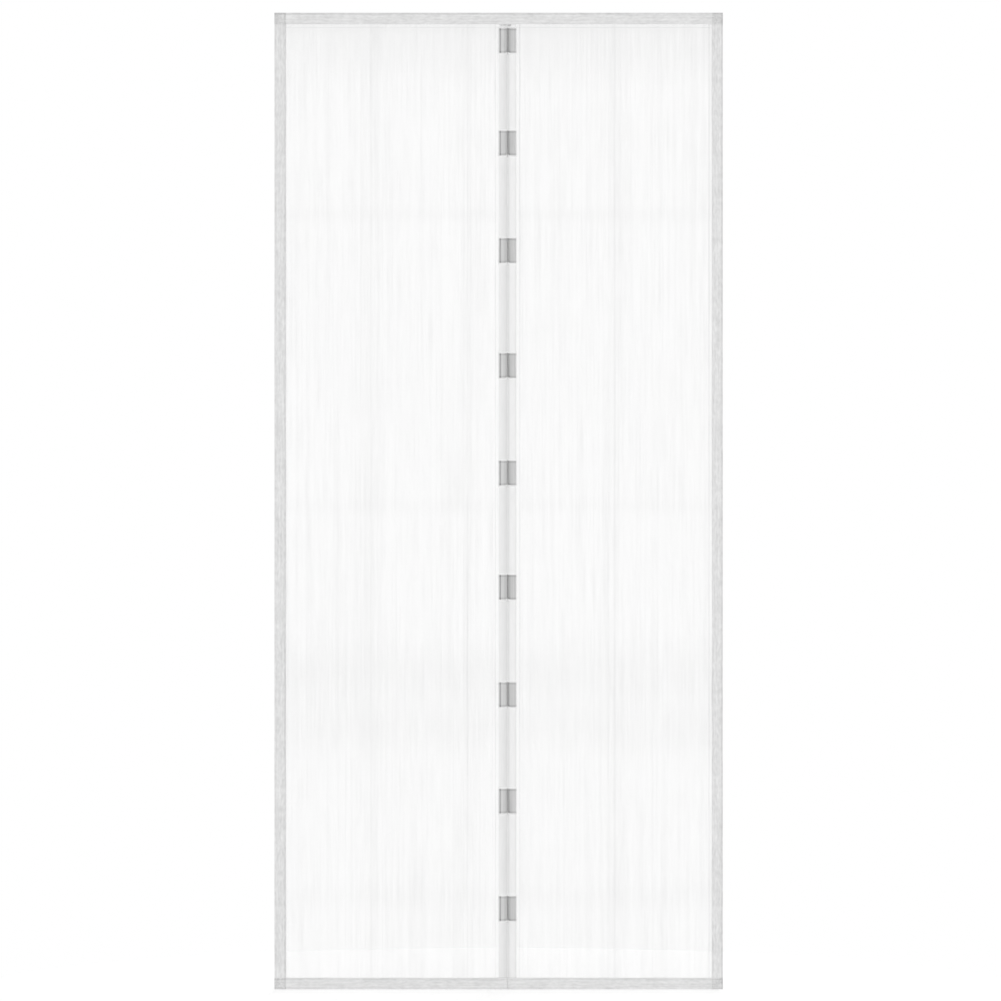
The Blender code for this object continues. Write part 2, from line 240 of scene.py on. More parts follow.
class RibbonSettings(bpy.types.PropertyGroup):
    """The two ribbons that pocket the magnets."""

    flange: millimetres("Flange", "Flat stitched edge beside a pocket", 1.0)
    shoulder: millimetres("Shoulder", "Width of a pocket's rounded side", 1.7)
    end_room: millimetres("End Room", "Slack past each end of a magnet", 0.4)
    ramp: millimetres("Ramp", "Length over which a pocket closes", 1.8)
    crown: millimetres("Crown", "How much higher a pocket is in the middle", 0.8)
    puff: millimetres("Puff", "How far a ribbon stands off between two magnets", 0.8)
    brightness: share("Brightness", "How light the ribbon is", 0.92)
    cover: share("Cover", "How much of what lies behind the ribbon it hides", 0.66)
    groove: share("Groove", "Extra shade of a pocket right beside the seam", 0.155)
    end_line: share("End Line", "Shade of the lines across a pocket's two ends", 0.16)
    seam_line: share("Seam Line", "Extra shade of the ribbon right beside the seam", 0.07)
    streaks: share("Streaks", "Strength of the streaks along a ribbon", 0.12)


class SewingSettings(bpy.types.PropertyGroup):
    """The stitches."""

    pitch: millimetres("Pitch", "From one stitch to the next", 4.0)
    length: millimetres("Length", "Length of the thread that shows", 3.1)
    thread: millimetres("Thread", "Thickness of the sewing thread", 0.42)
    from_edge: millimetres("From Edge", "From a tape's inner edge to its inner row", 2.0)
    brightness: share("Brightness", "How light the tapes' thread is", 0.64)
    ribbon_brightness: share("Ribbon Brightness", "How light the ribbons' thread is", 0.93)


class FittingSettings(bpy.types.PropertyGroup):
    """The magnets and the hook and loop strips."""

    magnet: share("Magnet", "How light the magnets are", 0.09)
    loop: share("Loop", "How light the loop strips are", 0.80)
    hook: share("Hook", "How light the hook strips are", 0.84)
    loop_nap: millimetres("Loop Nap", "Size of the tufts on a loop strip", 0.7)


class StageSettings(bpy.types.PropertyGroup):
    """Floor, lamps and camera."""

    image_size: IntProperty(name="Image Size", description="Size of the picture, in pixels", default=1001)
    outline: FloatVectorProperty(
        name="Outline", description="The screen's left, right, top and bottom edge in the picture", size=4,
        default=(274.56, 722.79, 12.66, 989.33),
    )
    lens: number("Lens", "Focal length, in millimetres", 200.0)
    floor_clearance: millimetres("Floor Clearance", "From the hem to the floor", 3.0)
    floor_size: number("Floor Size", "Width of the floor", 2.4, unit="LENGTH")
    floor_glow: share("Floor Glow", "What brings the lit floor up to white in the picture", 0.19)
    sky: number("Sky", "Strength of the even light from all round", 0.84)
    key: number("Key", "Power of the lamp at the front right, in watts", 124.0)
    fill: number("Fill", "Power of the two other lamps, in watts", 68.0)


def clamp(value):
    """The value, kept from 0 to 1."""
    return max(0.0, min(1.0, value))


def ease(value):
    """0 below 0, 1 above 1, and smooth between."""
    value = clamp(value)
    return value * value * (3 - 2 * value)


def bow(place, creases):
    """How full the net stands at a place: 0 on each crease and 1 midway between two."""
    for low, high in zip(creases, creases[1:]):
        if low <= place <= high:
            return math.sin(math.pi * (place - low) / (high - low))
    return 0.0


def new_object(name, data):
    """An object in the scene."""
    made = bpy.data.objects.new(name, data)
    bpy.context.scene.collection.objects.link(made)
    return made


def new_mesh(name, form, material):
    """A mesh made from a bmesh, which is used up."""
    mesh = bpy.data.meshes.new(name)
    form.to_mesh(mesh)
    form.free()
    mesh.materials.append(material)
    return mesh


def new_piece(name, form, material, slot, *nodes, smooth=True):
    """Makes a piece from a bmesh, which rides with the screen and stands for the nodes named."""
    piece = new_object(name, new_mesh(name, form, material))
    if smooth:
        piece.data.shade_smooth()
    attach(piece, "root")
    if nodes:
        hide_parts(*nodes)
    return piece


def new_cloth(name, across, along, place, material, slot, *nodes, **attributes):
    """A sheet of cloth laid through place(i, j), with UVs in metres and half its thickness to each side.

    across and along place its columns and rows on the flat cloth. An attribute is a value(i, j)."""
    form = bmesh.new()
    bmesh.ops.create_grid(form, x_segments=len(across) - 1, y_segments=len(along) - 1, size=1.0)
    flat = form.loops.layers.uv.new("flat")
    layers = [(form.verts.layers.float.new(key), value) for key, value in attributes.items()]
    for index, vertex in enumerate(form.verts):
        row, column = divmod(index, len(across))
        vertex.co = place(column, row)
        for layer, value in layers:
            vertex[layer] = value(column, row)
        for loop in vertex.link_loops:
            loop[flat].uv = (across[column], along[row])
    bmesh.ops.recalc_face_normals(form, faces=form.faces)
    piece = new_piece(name, form, material, slot, *nodes)
    wall = piece.modifiers.new("thickness", "SOLIDIFY")
    wall.thickness = TAPE_WALL
    wall.offset = 0.0
    wall.use_even_offset = True
    return piece


def even_steps(low, high, step):
    """Places from low to high, about a step apart."""
    count = max(1, round(abs(high - low) / step))
    return [low + (high - low) * k / count for k in range(count + 1)]


def node(tree, kind, *sources, **settings):
    """A node with its settings, and with its inputs fed in order by sockets or values."""
    made = tree.nodes.new(kind)
    for key, value in settings.items():
        setattr(made, key, value)
    for socket, source in zip(made.inputs, sources):
        if isinstance(source, bpy.types.NodeSocket):
            tree.links.new(source, socket)
        elif source is not None:
            socket.default_value = source
    return made


def calculate(tree, operation, *values):
    """A math node's result."""
    return node(tree, "ShaderNodeMath", *values, operation=operation).outputs[0]


def new_material(name, roughness, **sockets):
    """A material, its node tree and its shader."""
    material = bpy.data.materials.new(name)
    material.use_nodes = True
    shader = material.node_tree.nodes["Principled BSDF"]
    shader.inputs["Roughness"].default_value = roughness
    for socket, value in sockets.items():
        shader.inputs[socket.replace("_", " ")].default_value = value
    return material, material.node_tree, shader


def add_bump(tree, shader, height, strength, depth):
    """Roughens the surface by a height."""
    bump = node(tree, "ShaderNodeBump", strength, depth)
    tree.links.new(height, bump.inputs["Height"])
    tree.links.new(bump.outputs[0], shader.inputs["Normal"])


def set_color(tree, shader, lightness):
    """Colours a shader by a grey."""
    tree.links.new(lightness, shader.inputs["Base Color"])


def in_place(tree):
    """The place on the piece, which is the place in the scene, in metres."""
    return node(tree, "ShaderNodeTexCoord").outputs["Object"]


def on_cloth(tree):
    """The place on the cloth laid flat, in metres."""
    return node(tree, "ShaderNodeUVMap", uv_map="flat").outputs[0]


def stretched_noise(tree, coordinate, scale, detail=2.0):
    """Noise about 0 from -0.5 to 0.5, with its own count of lumps to a metre along each axis."""
    spread = node(tree, "ShaderNodeMapping", coordinate, None, None, scale).outputs[0]
    lumps = node(tree, "ShaderNodeTexNoise", spread, None, 1.0, detail).outputs[0]
    return calculate(tree, "SUBTRACT", lumps, 0.5)


def shade_near(tree, coordinate, place, width, depth):
    """A shade of that depth at a place on an axis, which fades out over the width to each side."""
    off = calculate(tree, "ABSOLUTE", calculate(tree, "SUBTRACT", coordinate, place))
    return node(
        tree, "ShaderNodeMapRange", off, 0.0, width, depth, 0.0, interpolation_type="SMOOTHSTEP"
    ).outputs[0]


def slope(tree, coordinate, start, end, depth):
    """A shade that is nothing up to the start, grows evenly to its full depth at the end and stays so."""
    return node(tree, "ShaderNodeMapRange", coordinate, start, end, 0.0, depth).outputs[0]


def times(tree, *values):
    """The product of two sockets or values."""
    return calculate(tree, "MULTIPLY", *values)


def total(tree, *values):
    """The sum of sockets or values."""
    result = values[0]
    for value in values[1:]:
        result = calculate(tree, "ADD", result, value)
    return result


def shaded(tree, brightness, shades):
    """A brightness less all its shades, and no more than 1."""
    return calculate(tree, "MINIMUM", calculate(tree, "SUBTRACT", brightness, total(tree, *shades)), 1.0)


def panel_sizes(side, net):
    """A panel's width from the seam to its outer edge, and where its free net starts and ends."""
    width = SEAM_X - LEFT if side == "left" else RIGHT - SEAM_X
    return width, net.turned_edge + net.margin, width - TAPE_WIDTH - net.margin


def panel_creases(side, net):
    """A panel's upright creases, as shares from the seam, with both ends of the free net."""
    return (0.0, *net.left_creases, 1.0) if side == "left" else (0.0, net.right_crease, 1.0)


def net_material(net):
    """Sheer white thread with fine upright streaks, painted shade along its creases, folds and raw edges
    and under the top tape, and painted light on the turned edge and right under the top tape.
    """
    material, tree, shader = new_material("sheer net", roughness=0.7, Alpha=net.cover)
    place = in_place(tree)
    axes = node(tree, "ShaderNodeSeparateXYZ", place).outputs
    across, height = axes[0], axes[2]
    streaks = [stretched_noise(tree, place, scale) for scale in (NET_FINE_STREAKS, NET_LONG_STREAKS)]
    # Lines of painted shade along the creases, the turned edge's raw edge, the level creases and the folds,
    # and painted light right under the top tape
    lines = []
    for side, sign in SIDES.items():
        _, start, end = panel_sizes(side, net)
        for crease in panel_creases(side, net)[1:-1]:
            x = SEAM_X + sign * (start + crease * (end - start))
            lines += [(across, x, *CREASE_LINE), (across, x, *CREASE_FADE)]
        lines.append((across, SEAM_X + sign * net.turned_edge, *RAW_EDGE_LINES[side]))
    free_top, free_bottom = TOP - TAPE_WIDTH, BOTTOM + TAPE_WIDTH
    for drop, reach, depth in LEVEL_SHADES:
        lines.append((height, free_top - drop * (free_top - free_bottom), reach, depth))
    side_fold, top_fold = RIGHT - TAPE_WIDTH - net.side_line, TOP - TAPE_WIDTH - net.top_line
    lines += [(across, side_fold, *SIDE_FOLD_LINE), (across, side_fold, *FOLD_FADE)]
    lines += [(height, top_fold, *TOP_FOLD_LINE), (height, top_fold, *FOLD_FADE)]
    light_start, light_full = net.turned_edge - TURNED_LIGHT_START, net.turned_edge - TURNED_LIGHT_FULL
    off_seam = calculate(tree, "ABSOLUTE", calculate(tree, "SUBTRACT", across, SEAM_X))
    shades = [times(tree, total(tree, *streaks), net.streaks)]
    shades += [shade_near(tree, *line) for line in lines]
    # Painted light over the turned edge, growing in from its raw edge
    shades.append(slope(tree, off_seam, light_start, light_full, -TURNED_PAINTED_LIGHT))
    set_color(tree, shader, shaded(tree, net.brightness, shades))
    return material


def tape_material(tape):
    """Thin woven tape, streaked along its length, with lines of painted shade along its edges, painted
    light on the hems, and darker where two tapes cross.
    """
    material, tree, shader = new_material("border tape", roughness=0.82, Sheen_Weight=0.1)
    flat = on_cloth(tree)
    place = in_place(tree)
    axes = node(tree, "ShaderNodeSeparateXYZ", place).outputs
    streaks = stretched_noise(tree, flat, TAPE_STREAKS, detail=3.0)
    ribs = times(tree, stretched_noise(tree, flat, TAPE_RIBS), TAPE_RIB_DEPTH)
    cloud = times(tree, stretched_noise(tree, place, TAPE_CLOUD, detail=3.0), TAPE_CLOUD_DEPTH)
    shades = [
        times(tree, total(tree, streaks, ribs, cloud), tape.streaks),
        # Painted light over the hems, fading out above them
        slope(tree, axes[2], BOTTOM + 2 * TAPE_WIDTH, BOTTOM + TAPE_WIDTH, -HEM_PAINTED_LIGHT),
    ]
    # Lines of painted shade along the tapes' edges
    for axis, line in TAPE_LINES:
        shades.append(shade_near(tree, axes[axis], line, TAPE_LINE_WIDTH, tape.edge_line))
    right_inner = RIGHT - TAPE_WIDTH * tape.right_width
    over = []
    inner_edges = (0, LEFT + TAPE_WIDTH, right_inner), (2, BOTTOM + TAPE_WIDTH, TOP - TAPE_WIDTH)
    for axis, low, high in inner_edges:
        below = calculate(tree, "LESS_THAN", axes[axis], low)
        above = calculate(tree, "GREATER_THAN", axes[axis], high)
        over.append(total(tree, below, above))
    specks = times(tree, stretched_noise(tree, place, TAPE_SPECKS, detail=3.0), TAPE_SPECK_DEPTH)
    crossed = times(tree, *over)
    crossed = times(tree, crossed, total(tree, specks, 1.0))
    shades.append(times(tree, crossed, tape.overlap * tape.brightness))
    set_color(tree, shader, shaded(tree, tape.brightness, shades))
    add_bump(tree, shader, weave_height(tree, flat), strength=0.5, depth=0.00006)
    return material


def weave_height(tree, flat):
    """A plain weave's height: threads each way, a little uneven."""
    ribs = [
        node(
            tree, "ShaderNodeTexWave", flat, *WEAVE_WAVES, wave_type="BANDS", bands_direction=direction,
            wave_profile="SIN",
        ).outputs["Fac"]
        for direction in ("X", "Y")
    ]
    return times(tree, *ribs)


def ribbon_material(side, ribbon):
    """Thin see-through ribbon, with painted shade where it rounds down to the seam, over a magnet and along
    a pocket's ends, and painted light along its outer edge and just past a pocket's ends.
    """
    sign = SIDES[side]
    material, tree, shader = new_material(
        f"thin ribbon {side}", roughness=0.78, Alpha=ribbon.cover, Sheen_Weight=0.1,
    )
    flat = on_cloth(tree)
    place = in_place(tree)
    across = node(tree, "ShaderNodeSeparateXYZ", place).outputs[0]
    pocket, rim, up = (
        node(tree, "ShaderNodeAttribute", attribute_name=name).outputs["Fac"]
        for name in ("pocket", "rim", "up")
    )
    middle = SEAM_X + SEAM_LEAN
    leaned = total(tree, across, times(tree, up, GROOVE_TILT))
    streaks = stretched_noise(tree, flat, RIBBON_STREAKS, detail=3.0)
    lines = stretched_noise(tree, flat, POCKET_STREAKS)
    depth, reach, even, line = POCKET_SHADES[side]
    # Painted shade over a magnet: towards the seam, in the groove and along a line near the outer edge,
    # with streaks and an even shade
    over_magnet = total(
        tree,
        slope(tree, across, SEAM_X + sign * reach, SEAM_X, depth),
        shade_near(tree, leaned, middle + GROOVE_TILT / 2, GROOVE_WIDTH, ribbon.groove),
        shade_near(tree, across, SEAM_X + sign * POCKET_LINE_AT, POCKET_LINE_WIDTH, line),
        times(tree, lines, POCKET_STREAK_DEPTH),
        even,
    )
    depth, reach, even, line = CHANNEL_SHADES[side]
    # Painted shade between two magnets: towards the seam and along lines by the seam and near the outer
    # edge
    between = total(
        tree,
        slope(tree, across, SEAM_X + sign * reach, SEAM_X, depth),
        shade_near(tree, across, middle, SEAM_LINE_WIDTH, ribbon.seam_line),
        shade_near(tree, across, SEAM_X + sign * CHANNEL_LINE_AT, CHANNEL_LINE_WIDTH, line),
        even,
    )
    shades = [
        times(tree, streaks, ribbon.streaks),
        node(tree, "ShaderNodeMapRange", pocket, 0.0, 1.0, between, over_magnet).outputs[0],
        # Painted light along the ribbon's outer edge
        shade_near(tree, across, SEAM_X + sign * RIBBON_OUT, *RIBBON_EDGE_LINE),
        # Painted shade across a pocket's ends, and painted light just past them
        times(tree, rim, ribbon.end_line),
    ]
    set_color(tree, shader, shaded(tree, ribbon.brightness, shades))
    add_bump(tree, shader, weave_height(tree, flat), strength=0.4, depth=0.00005)
    return material


def thread_material(name, brightness):
    """Twisted polyester thread."""
    material, tree, shader = new_material(name, roughness=0.6, Sheen_Weight=0.2)
    lumps = times(tree, stretched_noise(tree, in_place(tree), THREAD_LUMPS, detail=1.0), 0.12)
    set_color(tree, shader, total(tree, brightness, lumps))
    return material


def magnet_material(fitting):
    """Matt ferrite with a fine grain."""
    material, tree, shader = new_material("ferrite", roughness=0.5)
    place = in_place(tree)
    grain = stretched_noise(tree, place, FERRITE_GRAIN, detail=4.0)
    cloud = stretched_noise(tree, place, FERRITE_CLOUD)
    mix = times(tree, total(tree, grain, cloud), 0.05)
    set_color(tree, shader, total(tree, fitting.magnet, mix))
    add_bump(tree, shader, grain, strength=0.35, depth=0.00008)
    return material


def loop_material(fitting):
    """Napped loops."""
    material, tree, shader = new_material("loop nap", roughness=0.95, Sheen_Weight=0.35)
    per_metre = 1 / fitting.loop_nap
    tufts = node(tree, "ShaderNodeTexVoronoi", in_place(tree), None, per_metre).outputs["Distance"]
    shade = times(tree, tufts, 0.12)
    set_color(tree, shader, calculate(tree, "SUBTRACT", fitting.loop, shade))
    add_bump(tree, shader, tufts, strength=0.8, depth=0.0004)
    return material


def hook_material(fitting):
    """Woven hook tape with its adhesive side to the back."""
    material, tree, shader = new_material(
        "hook tape", roughness=0.42, Coat_Weight=0.15, Coat_Roughness=0.35,
    )
    place = in_place(tree)
    cloud = times(tree, stretched_noise(tree, place, HOOK_CLOUD, detail=3.0), 0.08)
    ribs = node(
        tree, "ShaderNodeTexWave", place, *HOOK_WAVES, wave_type="BANDS", bands_direction="DIAGONAL",
        wave_profile="SIN",
    ).outputs["Fac"]
    shade = total(tree, cloud, times(tree, ribs, 0.03))
    set_color(tree, shader, calculate(tree, "SUBTRACT", fitting.hook, shade))
    add_bump(tree, shader, ribs, strength=0.3, depth=0.00008)
    return material


def turn_sizes(net):
    """The turn's radius, its distance from the seam, and the cloth's length before it and around it."""
    radius = net.turn_step / 2
    fold_at = SEAM_GAP / 2 + net.thread_radius + radius
    return radius, fold_at, net.turned_edge - fold_at, math.pi * radius


def net_point(side, net, s, lift, z):
    """A point on a panel: s along the cloth from its raw edge in front, lift off its face, at height z."""
    sign = SIDES[side]
    _, start, end = panel_sizes(side, net)
    radius, fold_at, before, around = turn_sizes(net)
    if s < before:
        u, forward = net.turned_edge - s, net.turn_step - lift
    elif s < before + around:
        angle = (s - before) / radius
        u = fold_at - (radius - lift) * math.sin(angle)
        forward = radius + (radius - lift) * math.cos(angle)
    else:
        u = fold_at + s - before - around
        top, bottom = TOP - TAPE_WIDTH - net.margin, BOTTOM + TAPE_WIDTH + net.margin
        across, down = (u - start) / (end - start), (top - z) / (top - bottom)
        forward = lift
        if 0 < across < 1 and 0 < down < 1:
            edge = math.prod(ease(min(part, 1 - part) / WAVE_EASE) for part in (across, down))
            level = bow(down, (0.0, *net.level_creases, 1.0))
            full = bow(across, panel_creases(side, net)) * (1 - LEVEL_PULL + LEVEL_PULL * level)
            wave = noise.noise(Vector((sign * u * WAVE_LUMPS_ACROSS, z * WAVE_LUMPS_UP, 3.0)))
            forward += edge * (net.crease_bow * full + net.wave_depth * wave)
    return Vector((SEAM_X + sign * u, NET_Y - forward, z))


def corners(part):
    """The vertices of part of a form."""
    return [element for element in part if isinstance(element, bmesh.types.BMVert)]


def whole_part(vertices):
    """The vertices given, with their edges and faces."""
    edges = {edge for vertex in vertices for edge in vertex.link_edges}
    faces = {face for vertex in vertices for face in vertex.link_faces}
    return [*vertices, *edges, *faces]


def copied(form, part, offset):
    """A copy of part of a form, moved by the offset."""
    made = bmesh.ops.duplicate(form, geom=part)["geom"]
    bmesh.ops.translate(form, vec=offset, verts=corners(made))
    return made


def repeat(form, part, step, count):
    """Copies part of a form side by side, and returns all count of them."""
    if count < 2:
        return part
    half = repeat(form, part, step, count // 2)
    row = half + copied(form, half, step * (count // 2))
    if count % 2:
        row += copied(form, part, step * (count - 1))
    return row


def add_threads(form, length, radius, cuts, turn, move, step, count):
    """Parallel threads: one three-sided thread, cut across where it has to bend and copied side by side."""
    made = bmesh.ops.create_cone(
        form, cap_ends=True, segments=3, radius1=radius, radius2=radius, depth=length, matrix=move @ turn,
    )["verts"]
    part = whole_part(made)
    along = (turn @ Vector((0, 0, 1))).normalized()
    for cut in cuts:
        part = bmesh.ops.bisect_plane(
            form, geom=part, dist=1e-7, plane_co=along * cut, plane_no=along,
        )["geom"]
    repeat(form, part, step, count)


class SCREEN_OT_weave_nets(bpy.types.Operator):
    """Weaves both net panels from single threads, with the seam's edge turned to the front"""

    bl_idname = "insect_screen.weave_nets"
    bl_label = "Weave Nets"

    def execute(self, context):
        net = context.scene.screen_net
        material = net_material(net)
        for side in SIDES:
            width, start, end = panel_sizes(side, net)
            radius, fold_at, before, around = turn_sizes(net)
            cloth = before + around + width - net.inset - fold_at
            height = NET_TOP - NET_BOTTOM
            middle_z = (NET_TOP + NET_BOTTOM) / 2
            pitch = net.thread_pitch
            form = bmesh.new()
            # The threads of the turned edge lie right in front of those behind it
            first = (2 * before + around) % pitch / 2
            if first < net.thread_radius:
                first += pitch / 2
            add_threads(
                form, height, net.thread_radius, even_steps(NET_BOTTOM, NET_TOP, THREAD_STEP)[1:-1],
                Matrix.Identity(4), Matrix.Translation((first, 0, middle_z)), Vector((pitch, 0, 0)),
                int((cloth - first) / pitch) + 1,
            )
            beyond = before + around
            free = beyond + start - fold_at
            level_cuts = [before, before + around / 3, before + around * 2 / 3, beyond]
            level_cuts += [free + k * (end - start) / WAVE_COLUMNS for k in range(WAVE_COLUMNS + 1)]
            add_threads(
                form, cloth, net.thread_radius, level_cuts, Matrix.Rotation(math.pi / 2, 4, "Y"),
                Matrix.Translation((cloth / 2, 0, NET_BOTTOM + net.thread_radius)), Vector((0, 0, pitch)),
                int(height / pitch) + 1,
            )
            for vertex in form.verts:
                s, lift, z = vertex.co
                vertex.co = net_point(side, net, s, lift, z)
            bmesh.ops.recalc_face_normals(form, faces=form.faces)
            piece = new_piece(f"woven_net_{side}", form, material, "net", f"net_{side}", smooth=False)
        return {"FINISHED"}


def fold_section(front, back):
    """A folded tape's section, as (distance in from its outer edge, distance behind the net)."""
    radius, middle = (front + back) / 2, (back - front) / 2
    turn_at = radius + TAPE_WALL / 2
    step = (TAPE_WIDTH - turn_at) / FOLD_COLUMNS
    legs = [TAPE_WIDTH, *even_steps(TAPE_WIDTH - EDGE_COLUMN, turn_at, step)]
    arc = [math.pi * k / FOLD_COLUMNS for k in range(1, FOLD_COLUMNS)]
    section = [(inwards, -front) for inwards in legs]
    section += [(turn_at - radius * math.sin(angle), middle - radius * math.cos(angle)) for angle in arc]
    return section + [(inwards, back) for inwards in reversed(legs)]


def section_lengths(section):
    """Distances along a section from its first point."""
    lengths = [0.0]
    for (a, b), (c, d) in zip(section, section[1:]):
        lengths.append(lengths[-1] + math.hypot(c - a, d - b))
    return lengths


def level_layers(x, tape, net):
    """How far a level tape's front and back legs stand from the net at x."""
    corner = 1 - ease((min(x - LEFT, RIGHT - x) - TAPE_WIDTH - tape.step_start) / tape.step_length)
    seam = 1 - ease((abs(x - SEAM_X) - net.turned_edge - tape.step_start) / tape.step_length)
    back = CLOSE_HALF + (CORNER_HALF - CLOSE_HALF) * corner
    return back + (SEAM_HALF - CLOSE_HALF) * seam, back


def tape_side(side, tape):
    """A side tape's outer edge, and its width as a share of the left one's."""
    return (LEFT, 1.0) if side == "left" else (RIGHT, tape.right_width)


def add_tape(name, material, along, layers, point, seed, tape, *nodes, width=1.0):
    """A folded tape with rows at the distances along it.

    layers(a) gives its legs' distances from the net and point(inwards, behind, a) a place."""
    across = [width * length for length in section_lengths(fold_section(CLOSE_HALF, CLOSE_HALF))]
    sections = [fold_section(*layers(a)) for a in along]

    def place(column, row):
        inwards, behind = sections[row][column]
        share_in = inwards / TAPE_WIDTH
        pucker = 0.5 + noise.noise(Vector(((along[row] + inwards) * PUCKER_LUMPS, seed, 0.5)))
        lift = tape.pucker * pucker * share_in
        waver = noise.noise(Vector((along[row] * WAVER_LUMPS, seed, 7.5)))
        inwards += tape.waver * waver * ease(share_in)
        return point(inwards * width, behind + math.copysign(lift, behind), along[row])

    piece = new_cloth(name, across, along, place, material, "tape", *nodes)
    return piece


class SCREEN_OT_fold_tapes(bpy.types.Operator):
    """Folds the border tapes and the hems round the edges of the net"""

    bl_idname = "insect_screen.fold_tapes"
    bl_label = "Fold Tapes"

    def execute(self, context):
        tape, net = context.scene.screen_tape, context.scene.screen_net
        material = tape_material(tape)
        for seed, (side, sign) in enumerate(SIDES.items()):
            edge, width = tape_side(side, tape)
            add_tape(
                f"side_tape_cloth_{side}", material, even_steps(NET_TOP, NET_BOTTOM, SIDE_TAPE_STEP),
                lambda a: (CLOSE_HALF, CLOSE_HALF),
                lambda inwards, behind, a: Vector((edge - sign * inwards, NET_Y + behind, a)),
                seed, tape, f"side_tape_{side}", width=width,
            )
        for seed, (part, start, end, outer, up) in enumerate((
            ("top_tape", LEFT, RIGHT, TOP, -1),
            ("hem_tape_left", LEFT, SEAM_X - SEAM_GAP / 2, BOTTOM, 1),
            ("hem_tape_right", RIGHT, SEAM_X + SEAM_GAP / 2, BOTTOM, 1),
        ), len(SIDES)):
            add_tape(
                part.replace("tape", "tape_cloth"), material, even_steps(start, end, LEVEL_TAPE_STEP),
                lambda a: level_layers(a, tape, net),
                lambda inwards, behind, a: Vector((a, NET_Y + behind, outer + up * inwards)),
                seed, tape, part,
            )
        return {"FINISHED"}


def nearest_magnet(z):
    """The lower and upper end of the magnet nearest to a height."""
    low, high = min(MAGNETS, key=lambda box: abs((box[0].z + box[1].z) / 2 - z))
    return low.z, high.z


def pocket_share(z, room, ramp):
    """1 over a magnet and the room past its ends, 0 between two magnets and smooth over the ramp."""
    low, high = nearest_magnet(z)
    return 1 - ease((abs((low + high) / 2 - z) - (high - low) / 2 - room) / ramp)


def height_in_pocket(z):
    """0 at the lower end of the nearest pocket and 1 at its upper end."""
    low, high = nearest_magnet(z)
    return clamp((z - low) / (high - low))


def notch_rise(u):
    """How far the painted shade at a pocket's lower end rises, at the distance u from the seam."""
    return NOTCH * max(0.0, 1 - u / NOTCH_REACH) ** 2


def end_share(z, u):
    """Painted shade and light at a pocket's ends: 1 on the lines of shade just inside its two ends, -1 on
    the lines of light right outside them and 0 a little away.
    """
    low, high = nearest_magnet(z)
    low += notch_rise(u)
    dark_lines, light_lines = ((low + inset, high - inset) for inset in (END_INSET, -END_LIGHT))
    dark = max(1 - ease(abs(z - line) / DARK_REACH) for line in dark_lines)
    light = max(1 - ease(abs(z - line) / LIGHT_REACH) for line in light_lines)
    return dark * ease(u / SEAM_REACH) - light


def free_share(z):
    """0 where a tape lies on the ribbons and 1 a little away from it."""
    return ease((min(TOP - z, z - BOTTOM) - TAPE_WIDTH - TAPE_ROOM) / TAPE_RAMP)


def ribbon_rise(u, share_over, net_share, ribbon):
    """How far a ribbon stands off its flat place, at a distance u from the seam."""
    outer = RIBBON_OUT - ribbon.flange
    rising = clamp((u - RIBBON_IN - TAPE_WALL / 2) / ribbon.shoulder)
    falling = clamp((outer - u) / ribbon.shoulder)
    middle = (RIBBON_IN + outer) / 2
    crown = ribbon.crown * (1 - ((u - middle) / (outer - middle)) ** 2)
    over = MAGNET_THICKNESS + COVER_ROOM + max(0.0, crown)
    over *= math.sin(math.pi / 2 * rising) * math.sin(math.pi / 2 * falling)
    puff = ribbon.puff * math.sin(math.pi * clamp((u - RIBBON_IN) / (outer - RIBBON_IN)))
    return (share_over * over + (1 - share_over) * puff) * net_share


def ribbon_rows(ribbon):
    """Heights of a ribbon's rows, close together at the pockets' ends."""
    rows = set(even_steps(NET_BOTTOM, NET_TOP, RIBBON_STEP))
    past = ribbon.end_room + ribbon.ramp + ROWS_PAST_END
    for low, high in MAGNETS:
        rows |= set(even_steps(low.z - past, low.z + ROWS_INSIDE_BOTTOM, POCKET_END_STEP))
        rows |= set(even_steps(high.z - ROWS_INSIDE_TOP, high.z + past, POCKET_END_STEP))
    return sorted(rows)


class SCREEN_OT_sew_ribbons(bpy.types.Operator):
    """Lays the pocketed ribbons over the magnets on both sides of the seam"""

    bl_idname = "insect_screen.sew_ribbons"
    bl_label = "Sew Ribbons"

    def execute(self, context):
        ribbon = context.scene.screen_ribbon
        rows = ribbon_rows(ribbon)
        inner, outer = RIBBON_IN, RIBBON_OUT
        turns = [math.pi * k / RIBBON_COLUMNS for k in range(RIBBON_COLUMNS + 1)]
        across = [inner + (outer - inner) * (1 - math.cos(turn)) / 2 for turn in turns]

        # The mask of the painted shade over a magnet
        def over(column, row):
            z, u = rows[row], across[column]
            if z < sum(nearest_magnet(z)) / 2:
                z -= notch_rise(u)
            return pocket_share(z, SHADE_START, SHADE_RAMP) * ease((MAGNET_OUT - u) / SHADE_EDGE)

        # Lines of painted shade across a pocket's ends, and of painted light just past them
        def rim(column, row):
            return end_share(rows[row], across[column])

        # How far up its pocket a row lies, which moves the painted shade of the groove
        def up(column, row):
            return height_in_pocket(rows[row])

        for side, sign in SIDES.items():

            def place(column, row):
                u, z = across[column], rows[row]
                over_magnet = pocket_share(z, ribbon.end_room, ribbon.ramp)
                u += (outer - u) / (outer - inner) * TAPE_WALL / 2 * over_magnet
                rise = ribbon_rise(u, over_magnet, free_share(z), ribbon)
                return Vector((SEAM_X + sign * u, NET_Y - RIBBON_HALF - rise, z))

            piece = new_cloth(
                f"magnet_ribbon_cloth_{side}", across, rows, place, ribbon_material(side, ribbon), "ribbon",
                f"magnet_ribbon_{side}", pocket=over, rim=rim, up=up,
            )
        return {"FINISHED"}


